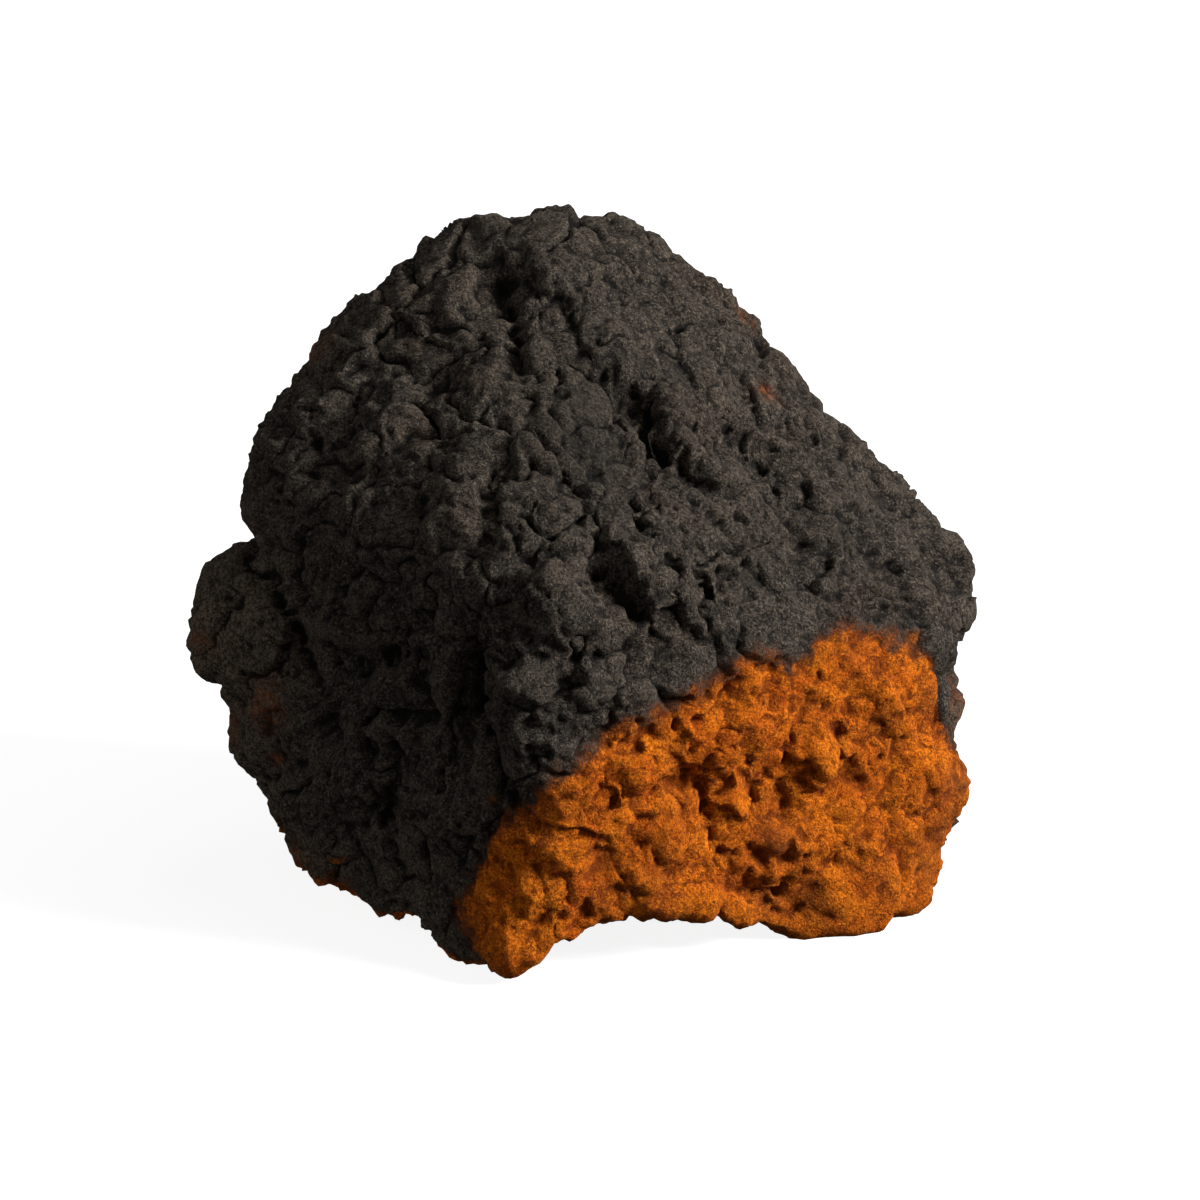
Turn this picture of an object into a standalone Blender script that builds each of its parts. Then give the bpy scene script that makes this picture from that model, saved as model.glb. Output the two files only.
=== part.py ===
"""A chaga conk: the black, cracked lump that grows on birch, broken off so that its inside shows.

It grew as one piece, so it is one closed solid. A sphere is pushed out to the conk's body, its
surface is raised in blocks, lumps and plates with clefts between them, and it is pressed level
where it stands. Places are first given as seen from the front and VIEW_TILT above: right, up and
towards the viewer, in millimetres from the conk's middle. They are then turned upright.
"""

import itertools
import math

import bmesh
import bpy
import numpy as np
from mathutils import Matrix

NAME = "chaga"

# Driving dimensions, in millimetres
MM = 0.001
VIEW_TILT = math.radians(20)  # how far above the level the front view looks from
FRONT_REACH = 66.0  # from the middle towards the viewer
BACK_REACH = 62.0
FULLNESS = 2.3  # 2 is an ellipsoid, and more is boxier
EDGE_ROUNDING = 14.0
GROUND = -66.2  # height under the middle that the feet reach down to
LEVEL_CUT = 0.6  # and how much of them is then cut off level
ARCH = 5.0  # how high the underside stands between the feet
ARCH_SLOPE = 12.0  # how far from a foot the arch takes to rise

SPHERE_SUBDIVISIONS = 7
TRIANGLES = 11500

# The conk's edge as seen from the front, clockwise from the top: right, up
OUTLINE = (
    (-8, 89), (7, 89), (20, 83), (31, 74), (41, 68), (41, 60), (55, 46), (64, 38), (67, 33),
    (78, 23), (83, 19), (88, 6), (92, -1), (84, -10), (83, -32), (87, -37), (87, -47), (82, -58),
    (78, -80), (60, -104), (0, -115), (-38, -95), (-54, -66), (-66, -61), (-72, -51), (-76, -43),
    (-82, -38), (-83, -26), (-94, -18), (-95, -4), (-86, 12), (-78, 14), (-77, 28), (-73, 43),
    (-63, 56), (-53, 67), (-40, 81), (-33, 88), (-15, 89),
)
OUTLINE_DEPTH = 0.35  # how far from the edge towards the viewer its small bends fade, as a share

# Broad faces: outward (right, up, towards the viewer) and distance from the middle
FACES = (
    ("broken face", (0.41, -0.25, 0.88), 59),
    ("left flank", (-0.68, -0.20, 0.70), 61),
    ("right slope", (0.46, 0.54, 0.70), 50),
    ("brow", (-0.25, 0.60, 0.76), 60),
    ("left back", (-0.65, 0.20, -0.73), 62),
    ("right back", (0.60, 0.10, -0.79), 60),
)

# The upper edge of the broken face, from left to right: right, up
BREAK_EDGE = (
    (-31, -82), (-30, -70), (-25, -64), (-22, -56), (-19, -50), (-13, -48), (-9, -43), (-3, -39),
    (7, -29), (17, -26), (33, -17), (38, -13), (50, -16), (62, -6), (77, -10), (81, -14), (82, -31),
    (90, -39),
)

# Where the underside is higher still: right, away from the viewer, radius, height
UNDER_HOLLOWS = (
    ("under the broken face", 12, -62, 26, 11),
    ("middle", 0, -8, 30, 5),
)

# Feet under the conk: right, away from the viewer, radius
FEET = (
    (-20, -75, 8),
    (-30, -61, 10),
    (-52, -18, 12),
    (50, -44, 6),
    (63, -44, 9),
    (72, -26, 9),
    (10, 42, 16),
    (-38, 22, 10),
    (50, 12, 10),
)

# Lumps that stand out of the crust: right, up, radius, height
LUMPS = (
    (-85, 2, 11, 3), (-86, -9, 11, 4.5), (-74, -28, 10, 1.5), (-72, 21, 9, 1.5), (-68, 33, 8, 1),
    (-60, 59, 7, 2), (-43, 68, 9, 1.5), (-28, 76, 10, 1.5), (-3, 80, 15, 2), (10, 83, 9, 1.5),
    (-22, 56, 7, 1.5), (-48, 40, 8, 2), (-53, 19, 8, 2), (-41, 15, 8, 1.5), (-31, 25, 9, 2),
    (-25, 4, 7, 2), (-7, 5, 8, 3), (13, 9, 9, 3), (-57, -4, 12, 3), (-53, -24, 8, 2),
    (-42, -21, 8, 2), (-32, -13, 6, 1.5), (-17, -20, 8, 3.5), (-10, -31, 9, 3), (-58, -42, 10, 2),
    (-36, -47, 9, 2), (-24, -46, 7, 2), (-57, -62, 9, 1.5), (3, -19, 8, 1.5), (22, 37, 12, 2),
    (43, 34, 10, 1.5), (25, 15, 8, 2), (57, 22, 9, 1), (75, 6, 10, 1.5), (83, 13, 8, 2),
    (28, 60, 11, 1), (3, 40, 9, 1), (45, -3, 9, 1), (87, -22, 7, 1.5),
)

# Lumps of the broken face: right, up, radius, height
FACE_LUMPS = (
    (19, -54, 8, 2.5), (15, -65, 8, 2.5), (54, -35, 8, 1.5), (44, -56, 7, 3), (61, -68, 12, 4.5),
    (48, -76, 8, 1), (-16, -80, 12, 4), (88, -42, 7, 2.5), (75, -62, 9, 1.5), (-2, -52, 9, 1.5),
    (0, -66, 8, 1.5), (33, -33, 9, 1), (13, -38, 9, 1), (70, -22, 9, 1),
)

# Hollows: right, up, radius, depth
HOLLOWS = (
    (-19, 73, 5, 6), (-57, 40, 8, 3), (-34, 51, 6, 2.5), (-20, -7, 6, 2.5), (8, 0, 5, 3),
    (-28, -34, 7, 4), (-53, -17, 5, 3), (50, 3, 4, 1.5), (79, 14, 5, 1.5), (46, -47, 4, 3.5),
    (22, -43, 7, 1.5), (48, -71, 7, 4), (-66, -12, 5, 4), (-60, -28, 6, 4),
)

# Clefts: half width, depth, and the way (right, up)
CLEFTS = (
    ("under the top plate", 2.4, 4, ((-17, 70), (-16, 60), (-16, 52))),
    ("slope's great step", 2.4, 4, ((8, 48), (14, 44), (15, 37), (18, 32), (27, 27))),
    ("slope's middle step", 2.2, 2.5, ((35, 35), (45, 28), (45, 23), (50, 18))),
    ("round the left lobe", 3.4, 9, ((-80, 14), (-71, 0), (-66, -7), (-64, -16), (-59, -23), (-62, -32))),
    ("under the left lobe", 2.2, 3, ((-80, -14), (-75, -18), (-68, -16))),
    ("left of the blocks", 2.4, 3, ((-48, 51), (-54, 46), (-55, 37), (-53, 28))),
    ("round the arched block", 2.2, 2, ((-38, 18), (-37, 28), (-30, 34), (-24, 31), (-21, 26))),
    ("across the left flank", 2.8, 5, ((-59, -13), (-54, -17), (-45, -13), (-36, -13), (-36, -20))),
    ("left of the nose", 3.4, 6, ((-24, -12), (-25, -21), (-22, -33), (-18, -44), (-11, -46))),
    ("lower left", 2.4, 4, ((-43, -34), (-44, -44), (-47, -53), (-41, -65))),
    ("below the flank", 2.4, 3, ((-62, -33), (-57, -32), (-47, -34), (-38, -38), (-34, -42))),
    ("over the round lump", 2.2, 2.5, ((-19, 4), (-14, 8), (-7, 11), (-3, 7), (2, 5))),
    ("beside the nose block", 2.4, 3, ((5, 4), (11, -1), (15, -5))),
    ("inside the right corner", 2.6, 3, ((68, 25), (73, 22), (79, 12), (83, 0))),
    ("broken face's groove", 2.2, 2.5, ((15, -43), (23, -39), (27, -43), (28, -49), (28, -54), (30, -58))),
)
CLEFT_STEP = 1.5  # spacing of the places worked out along a cleft

# Edges of plates that stand over what lies beside them: height, and the way (right, up) with the
# plate on its left
STEPS = (
    ("top plate", 2.5, ((-18, 79), (-8, 70), (-3, 65), (0, 60))),
    ("slope's great plate", 3.0, ((7, 49), (14, 44), (15, 37), (18, 32), (27, 27))),
    ("slope's middle plate", 2.0, ((35, 35), (45, 28), (45, 23), (50, 18))),
    ("nose block", 1.5, ((3, 16), (8, 8), (12, 0), (15, -5))),
    ("nose", 3.0, ((-24, -10), (-25, -21), (-21, -33), (-17, -44), (-10, -47))),
    ("body by the left lobe", 1.5, ((-77, 17), (-72, 5), (-66, -5), (-63, -16), (-58, -25))),
    ("broken face", 1.0, ((15, -42), (23, -39), (27, -43), (28, -49), (28, -56))),
)
STEP_EDGE = 2.0  # how far across a step rises
STEP_REACH = 9.0  # how far from the step its plate levels out

# Blocks that the crust is cracked into: each is the space nearest to its own seed
BLOCK_SPACING = 13.0
ROWS_OF_BLOCKS = 12  # from the middle each way
BLOCK_LEVELS = 1.1  # how far a block stands above or below their mean
BLOCK_TILT = 0.05
MOST_TILTED = 1.6  # how far a tilt raises or lowers a block's edge at most
BLOCK_JOIN = 0.3  # how far from an edge two blocks' levels run into each other
BLOCK_ROUNDING = 3.8  # how far in from its edges a block is rounded
BLOCK_DROP = 2.0  # how much lower a block's edges are than its top
PLATE_DROP = 1.1  # and on the right slope, whose blocks are plates
PLATE_LEAN = (-0.11, -0.08, 0)  # how the plates rise to the right, up and towards the viewer
BLOCK_BENDS = ((19.0, 1.6), (7.0, 0.7))  # bends of the blocks' edges: wavelength and reach
RELIEF_MEAN = -0.8  # mean height of the blocks, taken off again
WAVES = 14
UNDER_ROUNDING = 4.0
UNDER_LUMPS = 1.8  # height of the underside's lumps
GRAIN_WAVELENGTH = 9.0
GRAIN_HEIGHT = 0.22
FACE_RELIEF = 0.6  # the blocks' height on the broken face, as a share of the crust's
SEED = 11

CRUST_COLOUR = (0.035, 0.031, 0.027, 1)
CRUST_ROUGHNESS = 0.9


def unit(vector):
    return np.array(vector, float) / np.linalg.norm(vector)


def upright(points):
    """Front-view places turned upright: x right, y away from the viewer, z up."""
    right, up, near = points.T
    away = up * math.sin(VIEW_TILT) - near * math.cos(VIEW_TILT)
    height = up * math.cos(VIEW_TILT) + near * math.sin(VIEW_TILT)
    return np.stack([right, away, height], axis=1)


def lesser(a, b, rounding):
    """The smaller of two lengths, with the corner between them rounded."""
    share = np.clip(0.5 + 0.5 * (b - a) / rounding, 0, 1)
    return b + (a - b) * share - rounding * share * (1 - share)


def smooth(values):
    values = np.clip(values, 0, 1)
    return values * values * (3 - 2 * values)


def outline_reach(angles, near):
    """How far the outline is from the middle at each angle, its small bends fading towards the viewer."""
    points = np.array(OUTLINE, float)
    at = np.arctan2(points[:, 1], points[:, 0])
    order = np.argsort(at)
    every = np.linspace(-math.pi, math.pi, 361)[:-1]
    full = np.interp(every, at[order], np.hypot(*points[order].T), period=2 * math.pi)
    bell = np.exp(-(((np.arange(360) - 180) / 12) ** 2))
    around = np.convolve(np.tile(full, 3), bell / bell.sum(), mode="same")[360:720]
    fine = np.interp(angles, every, full, period=2 * math.pi)
    broad = np.interp(angles, every, around, period=2 * math.pi)
    return broad + (fine - broad) * np.exp(-((near / OUTLINE_DEPTH) ** 2))


def body_reach(directions):
    """How far the conk's body is from its middle along each direction."""
    right, up, near = directions.T
    across = np.hypot(right, up) / outline_reach(np.arctan2(up, right), near)
    deep = np.abs(near) / np.where(near > 0, FRONT_REACH, BACK_REACH)
    reach = (across**FULLNESS + deep**FULLNESS) ** (-1 / FULLNESS)
    for _, outward, distance in FACES:
        slope = directions @ unit(outward)
        face = np.where(slope > 0.05, distance / np.maximum(slope, 0.05), 1e3)
        reach = lesser(reach, face, EDGE_ROUNDING)
    return reach


def on_front(body, places):
    """The body's points that the places (right, up) are seen at."""
    front = body[body[:, 2] > 0]
    away = np.linalg.norm(front[None, :, :2] - np.array(places, float)[:, None], axis=2)
    return front[np.argmin(away, axis=1)]


def distance_to(points, places):
    """Each point's distance from the nearest of the places."""
    nearest = np.full(len(points), 1e3)
    for place in places:
        nearest = np.minimum(nearest, np.linalg.norm(points - place, axis=1))
    return nearest


def along(way):
    """Places every CLEFT_STEP along a way."""
    way = np.array(way, float)
    length = np.concatenate([[0], np.cumsum(np.linalg.norm(np.diff(way, axis=0), axis=1))])
    at = np.linspace(0, length[-1], int(length[-1] / CLEFT_STEP) + 2)
    return np.stack([np.interp(at, length, way[:, 0]), np.interp(at, length, way[:, 1])], axis=1)


def inside_share(body):
    """1 on the broken face and the underside, and 0 on the crust."""
    right, up, near = body.T
    edge = np.array(BREAK_EDGE, float)
    below = np.interp(right, edge[:, 0], edge[:, 1], left=-200) - up
    face = smooth(below / 3 + 0.5) * smooth(near / 8 + 0.5)
    height = upright(body)[:, 2]
    under = smooth((GROUND + ARCH - height) / 4 + 0.5)
    return np.maximum(face, under)


def plated_share(body):
    """1 on the right slope, whose blocks are flat plates, and 0 elsewhere."""
    return smooth((body[:, 0] + 10) / 30) * smooth((body[:, 1] + 20) / 20)


def ripple(points, wavelength, seed):
    """An uneven rise and fall all through space, about as long as the wavelength and about 1 high."""
    draw = np.random.default_rng(seed)
    total = np.zeros(len(points))
    for _ in range(WAVES):
        wave = unit(draw.normal(size=3)) * 2 * math.pi / wavelength
        total += np.sin(points @ wave + draw.uniform(0, 2 * math.pi))
    return total * math.sqrt(2 / WAVES)


def bend(points):
    """The places moved a little, so that what is laid out from them has no straight edges."""
    bent = points.copy()
    for wavelength, reach in BLOCK_BENDS:
        for axis in range(3):
            bent[:, axis] += reach * ripple(points, wavelength, SEED + 10 * axis)
    return bent


def block_height(body):
    """Height of the blocks, each at its own level and tilt, and rounded off towards its edges."""
    points = bend(body)
    draw = np.random.default_rng(SEED)
    rows = 2 * ROWS_OF_BLOCKS
    corners = np.indices((rows, rows, rows)).reshape(3, -1).T - ROWS_OF_BLOCKS
    seeds = (corners + draw.uniform(0, 1, corners.shape)) * BLOCK_SPACING
    levels = draw.uniform(-BLOCK_LEVELS, BLOCK_LEVELS, len(seeds))
    slopes = draw.normal(0, BLOCK_TILT, seeds.shape)
    slopes += plated_share(seeds)[:, None] * np.array(PLATE_LEAN)
    cell = np.floor(points / BLOCK_SPACING).astype(int) + ROWS_OF_BLOCKS
    home = np.ravel_multi_index(cell.T, (rows, rows, rows))
    steps = [(x * rows + y) * rows + z for x, y, z in itertools.product((-1, 0, 1), repeat=3)]
    squares = np.stack([np.sum((points - seeds[home + step]) ** 2, axis=1) for step in steps])
    own = home + np.array(steps)[squares.argmin(axis=0)]
    edge = np.full(len(points), 1e3)
    total = np.zeros(len(points))
    weights = np.zeros(len(points))
    for step, square in zip(steps, squares):
        block = home + step
        apart = np.linalg.norm(seeds[block] - seeds[own], axis=1)
        past_edge = (square - squares.min(axis=0)) / np.maximum(2 * apart, 1)
        rise = np.sum((points - seeds[block]) * slopes[block], axis=1)
        weight = np.exp(-past_edge / BLOCK_JOIN)
        total += weight * (levels[block] + np.clip(rise, -MOST_TILTED, MOST_TILTED))
        weights += weight
        edge = np.where(block == own, edge, np.minimum(edge, past_edge))
    drop = BLOCK_DROP + (PLATE_DROP - BLOCK_DROP) * plated_share(body)
    return total / weights - drop * (1 - smooth(edge / BLOCK_ROUNDING)) - RELIEF_MEAN


def lump_height(body):
    """Height of the listed lumps, where one stands out from those round it."""
    bent = bend(body)
    height = np.zeros(len(body))
    listed = LUMPS + FACE_LUMPS
    places = bend(on_front(body, [lump[:2] for lump in listed]))
    for place, (_, _, radius, rise) in zip(places, listed):
        gap = np.linalg.norm(bent - place, axis=1)
        height = np.maximum(height, rise * np.exp(-((gap / radius) ** 3)))
    return height


def rise_at_step(body, height, way):
    """A plate's edge: up on the way's left, down on its right, and levelled out away from it."""
    way = along(way)
    ahead = np.gradient(way, axis=0)
    left = np.stack([-ahead[:, 1], ahead[:, 0]], axis=1)
    left /= np.linalg.norm(left, axis=1)[:, None]
    across = body[:, None, :2] - way
    nearest = np.argmin(np.sum(across**2, axis=2), axis=1)
    offset = across[np.arange(len(body)), nearest]
    side = np.sum(offset * left[nearest], axis=1)
    gap = np.linalg.norm(offset, axis=1)
    rise = height * np.tanh(side / STEP_EDGE) * np.exp(-gap / STEP_REACH)
    return rise * smooth(body[:, 2] / 10 + 0.5)


def relief(body):
    """How far the surface stands out of the body, everywhere."""
    height = block_height(body) * (1 - (1 - FACE_RELIEF) * inside_share(body))
    height += lump_height(body)
    for right, up, radius, depth in HOLLOWS:
        square = distance_to(body, on_front(body, [(right, up)])) ** 2
        height -= depth * np.exp(-square / radius**2)
    for _, half_width, depth, way in CLEFTS:
        gap = distance_to(body, on_front(body, along(way)))
        height -= depth * np.exp(-((gap / half_width) ** 2))
    for _, rise, way in STEPS:
        height += rise_at_step(body, rise, way)
    return height + GRAIN_HEIGHT * ripple(body, GRAIN_WAVELENGTH, SEED)


def press_level(points):
    """Stand the conk on its feet, with the underside arched between them."""
    right, away, height = points.T
    gap = np.full(len(points), 1e3)
    for foot_right, foot_away, radius in FEET:
        gap = np.minimum(gap, np.hypot(right - foot_right, away - foot_away) - radius * 0.5)
    arch = np.full(len(points), ARCH)
    for _, hollow_right, hollow_away, radius, depth in UNDER_HOLLOWS:
        square = (right - hollow_right) ** 2 + (away - hollow_away) ** 2
        arch += depth * np.exp(-square / radius**2)
    arch += UNDER_LUMPS * (ripple(points, 22.0, SEED + 1) + 0.6 * ripple(points, 11.0, SEED + 2))
    floor = GROUND + arch * smooth(gap / ARCH_SLOPE)
    pressed = -lesser(-height, -floor, UNDER_ROUNDING)
    on_foot = gap < 0
    pressed = np.where(on_foot, np.maximum(height, floor), pressed)
    return np.stack([right, away, np.maximum(pressed, GROUND)], axis=1)


def make_crust():
    crust = bpy.data.materials.new("crust")
    crust.use_nodes = True
    shader = crust.node_tree.nodes["Principled BSDF"]
    shader.inputs["Base Color"].default_value = CRUST_COLOUR
    shader.inputs["Roughness"].default_value = CRUST_ROUGHNESS
    shader.inputs["Metallic"].default_value = 0
    crust.diffuse_color = CRUST_COLOUR
    return crust


def make_conk(collection):
    bpy.ops.mesh.primitive_ico_sphere_add(subdivisions=SPHERE_SUBDIVISIONS, radius=1)
    conk = bpy.context.object
    conk.name = NAME
    for old in list(conk.users_collection):
        old.objects.unlink(conk)
    collection.objects.link(conk)
    directions = np.empty(len(conk.data.vertices) * 3)
    conk.data.vertices.foreach_get("co", directions)
    directions = directions.reshape(-1, 3)
    directions /= np.linalg.norm(directions, axis=1)[:, None]
    body = directions * body_reach(directions)[:, None]
    points = body + directions * relief(body)[:, None]
    points = press_level(upright(points))
    points[:, 2] -= GROUND + LEVEL_CUT
    conk.data.vertices.foreach_set("co", (points * MM).ravel())
    conk.data.update()
    return conk


def thin_out(conk):
    decimate = conk.modifiers.new("Fewer triangles", "DECIMATE")
    decimate.ratio = TRIANGLES / len(conk.data.polygons)
    bpy.context.view_layer.objects.active = conk
    bpy.ops.object.modifier_apply(modifier=decimate.name)


def cut_level(conk):
    """Cut the feet off at height 0, and close them with flat soles."""
    mesh = bmesh.new()
    mesh.from_mesh(conk.data)
    everything = mesh.verts[:] + mesh.edges[:] + mesh.faces[:]
    cut = bmesh.ops.bisect_plane(
        mesh, geom=everything, plane_co=(0, 0, 0), plane_no=(0, 0, 1), clear_inner=True
    )
    rim = [piece for piece in cut["geom_cut"] if isinstance(piece, bmesh.types.BMEdge)]
    soles = bmesh.ops.holes_fill(mesh, edges=rim)["faces"]
    bmesh.ops.triangulate(mesh, faces=soles)
    bmesh.ops.recalc_face_normals(mesh, faces=mesh.faces[:])
    mesh.to_mesh(conk.data)
    mesh.free()


def stand_on_origin(conk):
    """Move the conk so that the origin is under the middle of its outer box."""
    points = np.array([vertex.co for vertex in conk.data.vertices])
    low = points.min(axis=0)
    middle = (low + points.max(axis=0)) / 2
    conk.data.transform(Matrix.Translation((-middle[0], -middle[1], -low[2])))


def main():
    for old in list(bpy.data.objects):
        bpy.data.objects.remove(old)
    collection = bpy.data.collections.new("chaga conk")
    bpy.context.scene.collection.children.link(collection)
    conk = make_conk(collection)
    thin_out(conk)
    cut_level(conk)
    stand_on_origin(conk)
    conk.data.materials.append(make_crust())


main()
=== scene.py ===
"""A chaga conk as it looks: its black crust in cracked blocks, and its broken, rust-orange face.

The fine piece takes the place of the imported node. Its form and size are read from that node along rays,
and finer relief is raised on it by formulas. Places seen in the photograph are given in its pixels and
found on the surface by a ray through each. Lengths are in millimetres until the mesh is written.
"""

import math

import bmesh
import bpy
import numpy as np
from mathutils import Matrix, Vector
from mathutils.bvhtree import BVHTree
from mathutils.kdtree import KDTree

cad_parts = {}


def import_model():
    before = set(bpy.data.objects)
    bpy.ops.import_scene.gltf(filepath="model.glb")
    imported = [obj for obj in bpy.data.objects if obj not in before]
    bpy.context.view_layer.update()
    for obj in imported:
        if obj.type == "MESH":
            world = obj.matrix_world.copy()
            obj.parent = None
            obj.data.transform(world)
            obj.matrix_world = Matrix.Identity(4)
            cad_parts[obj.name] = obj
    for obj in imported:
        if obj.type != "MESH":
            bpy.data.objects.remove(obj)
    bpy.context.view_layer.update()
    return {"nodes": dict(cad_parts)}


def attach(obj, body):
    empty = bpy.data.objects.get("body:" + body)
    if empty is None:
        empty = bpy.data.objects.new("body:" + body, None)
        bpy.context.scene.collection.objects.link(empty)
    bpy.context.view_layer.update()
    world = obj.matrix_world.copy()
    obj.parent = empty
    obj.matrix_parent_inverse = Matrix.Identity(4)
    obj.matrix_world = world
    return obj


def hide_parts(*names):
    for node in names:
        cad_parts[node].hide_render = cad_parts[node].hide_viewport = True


MM = 0.001

# The photograph
PICTURE = 1200  # its width and height, in pixels
MM_PER_PIXEL = 0.232
MIDDLE_PIXEL = (585, 600)  # where the conk's middle is seen
MIDDLE = np.array((0.606, 1.933, 65.6))  # the conk's middle in the frame
VIEW_TILT = math.radians(20)
SIGHT = 1500.0  # from the camera to the middle
RIGHT = np.array((1.0, 0.0, 0.0))
UP = np.array((0.0, math.sin(VIEW_TILT), math.cos(VIEW_TILT)))
NEAR = np.array((0.0, -math.cos(VIEW_TILT), math.sin(VIEW_TILT)))
AIM = MIDDLE + RIGHT * (PICTURE / 2 - MIDDLE_PIXEL[0]) * MM_PER_PIXEL
CAMERA = AIM + NEAR * SIGHT

# The fine mesh
GRID = 112  # squares along each edge of the cube that the mesh starts from, before they are halved
FRONT_SHARE = 0.2  # how much closer together its points are at the front
START = 300.0  # where the rays inward start
TRIANGLES = 196000  # left once flat stretches are thinned out
RETURNS = 3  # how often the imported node's smoothed form is set back on it
OPPOSITE = 1.04  # how strong the opposite is that follows each averaging
FAR = 1000.0

# Random relief
SEED = 5
NODE_SEED = 11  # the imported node's own
WAVES = 14
LATTICE_REACH = 156.0  # from the middle to the outermost blocks
EDGE_NUMBERS = 1009  # how many random numbers the edges between blocks have
EDGE_MIXERS = (7919, 104729)  # what gives an edge its number from those of its two blocks

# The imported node's body, before its relief: right, up and towards the viewer from its middle
OUTLINE = (
    (-8, 89), (7, 89), (20, 83), (31, 74), (41, 68), (41, 60), (55, 46), (64, 38), (67, 33),
    (78, 23), (83, 19), (88, 6), (92, -1), (84, -10), (83, -32), (87, -37), (87, -47), (82, -58),
    (78, -80), (60, -104), (0, -115), (-38, -95), (-54, -66), (-66, -61), (-72, -51), (-76, -43),
    (-82, -38), (-83, -26), (-94, -18), (-95, -4), (-86, 12), (-78, 14), (-77, 28), (-73, 43),
    (-63, 56), (-53, 67), (-40, 81), (-33, 88), (-15, 89),
)
OUTLINE_DEPTH = 0.35
ANGLES = 360  # at which the outline is read, one in each degree
OUTLINE_BLUR = 12  # degrees over which its bends are averaged out towards the viewer
FRONT_REACH = 66.0
BACK_REACH = 62.0
FULLNESS = 2.3
EDGE_ROUNDING = 14.0
GRAZING = 0.05  # the least that a direction points towards a flat face to meet it
FACES = (  # flat places: which way they face, and how far they are from the middle
    ((0.41, -0.25, 0.88), 59), ((-0.68, -0.20, 0.70), 61), ((0.46, 0.54, 0.70), 50),
    ((-0.25, 0.60, 0.76), 60), ((-0.65, 0.20, -0.73), 62), ((0.60, 0.10, -0.79), 60),
)

# Its blocks, and the sharper ones that take their places here
PLATED_FROM = (-10, -20)  # right and up from the middle, where the right slope's flat plates begin
PLATED_OVER = (30, 20)  # how gradually they do
PLATE_LEAN = (-0.11, -0.08, 0)  # how these plates rise to the right, up and towards the viewer
MOST_TILTED = 1.6
NODE_BENDS = ((19.0, 1.6), (7.0, 0.7))
FINE_BENDS = ((4.0, 0.22),)
NODE_LIFT = 0.8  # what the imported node's blocks are raised by to be level with its body on average
NODE_VALLEY_DEPTH = 2.0
NODE_VALLEY_WIDTH = 3.8
NODE_PLATE_LESS = 0.9  # how much shallower their valleys are between plates
BLOCK_LIFT = 0.5  # and the same for the blocks here
VALLEY_DEPTH = 1.7
VALLEY_WIDTH = 2.4
PLATE_LESS = 1.0  # how much shallower and narrower the valleys are between plates
VALLEY_LEAST = 0.5  # the shallowest valley's share of that depth
VALLEY_SPREAD = 0.7  # how much the deepest one's share is more than this
CRACK_OPENING = 0.3  # how much higher than closed an edge's number is where its crack is fully open
FACE_RELIEF = 0.6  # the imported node's blocks on the broken face, as a share of the crust's
FACE_SHARE = 0.6  # and how much of them is put back there

# Its plates' edges: height, and the way (right, up) with the plate on its left
STEPS = (
    (2.5, ((-18, 79), (-8, 70), (-3, 65), (0, 60))),
    (3.0, ((7, 49), (14, 44), (15, 37), (18, 32), (27, 27))),
    (2.0, ((35, 35), (45, 28), (45, 23), (50, 18))),
    (1.5, ((3, 16), (8, 8), (12, 0), (15, -5))),
    (3.0, ((-24, -10), (-25, -21), (-21, -33), (-17, -44), (-10, -47))),
    (1.5, ((-77, 17), (-72, 5), (-66, -5), (-63, -16), (-58, -25))),
    (1.0, ((15, -42), (23, -39), (27, -43), (28, -49), (28, -56))),
)
SOFT_STEP = 2.0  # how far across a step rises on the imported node
SHARP_STEP = 0.8  # and here
STEP_REACH = 9.0
STEP_WINDOW = 25.0  # the farthest from a step that it has an effect
STEP_FADE = 10.0  # how gradually steps end towards the back
STEP_SPACING = 1.0
STEP_BENDS = ((15.0, 1.7), (5.5, 0.7))

# The broken face's upper edge and its left edge, in pixels
BREAK_TOP = (
    (451, 900), (464, 896), (477, 876), (491, 844), (501, 820), (530, 810), (544, 785), (573, 768),
    (592, 751), (614, 725), (659, 714), (681, 698), (726, 674), (748, 655), (775, 660), (801, 668),
    (817, 642), (852, 626), (881, 639), (916, 644), (930, 652), (935, 690), (940, 735), (956, 746),
    (975, 768),
)
BREAK_LEFT = ((451, 890), (453, 903), (464, 924), (483, 956), (505, 980))
BELOW_PICTURE = 1400  # how far down the upper edge is beyond its ends, in pixels
BREAK_BACK = 4.0  # how far behind the middle the broken face reaches
BREAK_WIDTH = 3.0  # how gradually the relief changes at its edges
BREAK_RIPPLES = ((0.8, 6.0), (0.5, 2.6))  # how uneven they are: height and wavelength
GUIDE_REACH = 9.0  # the farthest from them that is told apart

# The front of the underside, which is broken too
UNDERSIDE_TURN = 0.55  # how far down its normals point at its edge
UNDERSIDE_GRADE = 14.0  # millimetres further in for each 1 that they point down more
UNDERSIDE_TOP = 16.0
UNDERSIDE_BACK = 25.0  # how far behind the middle it reaches
UNDERSIDE_WAVELENGTH = 6.0

# The soles
SOLE_TOP = 1.0  # what is lower is pressed towards the floor
SOLE_FADE = 7.0  # how far above this the relief has its full height

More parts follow.
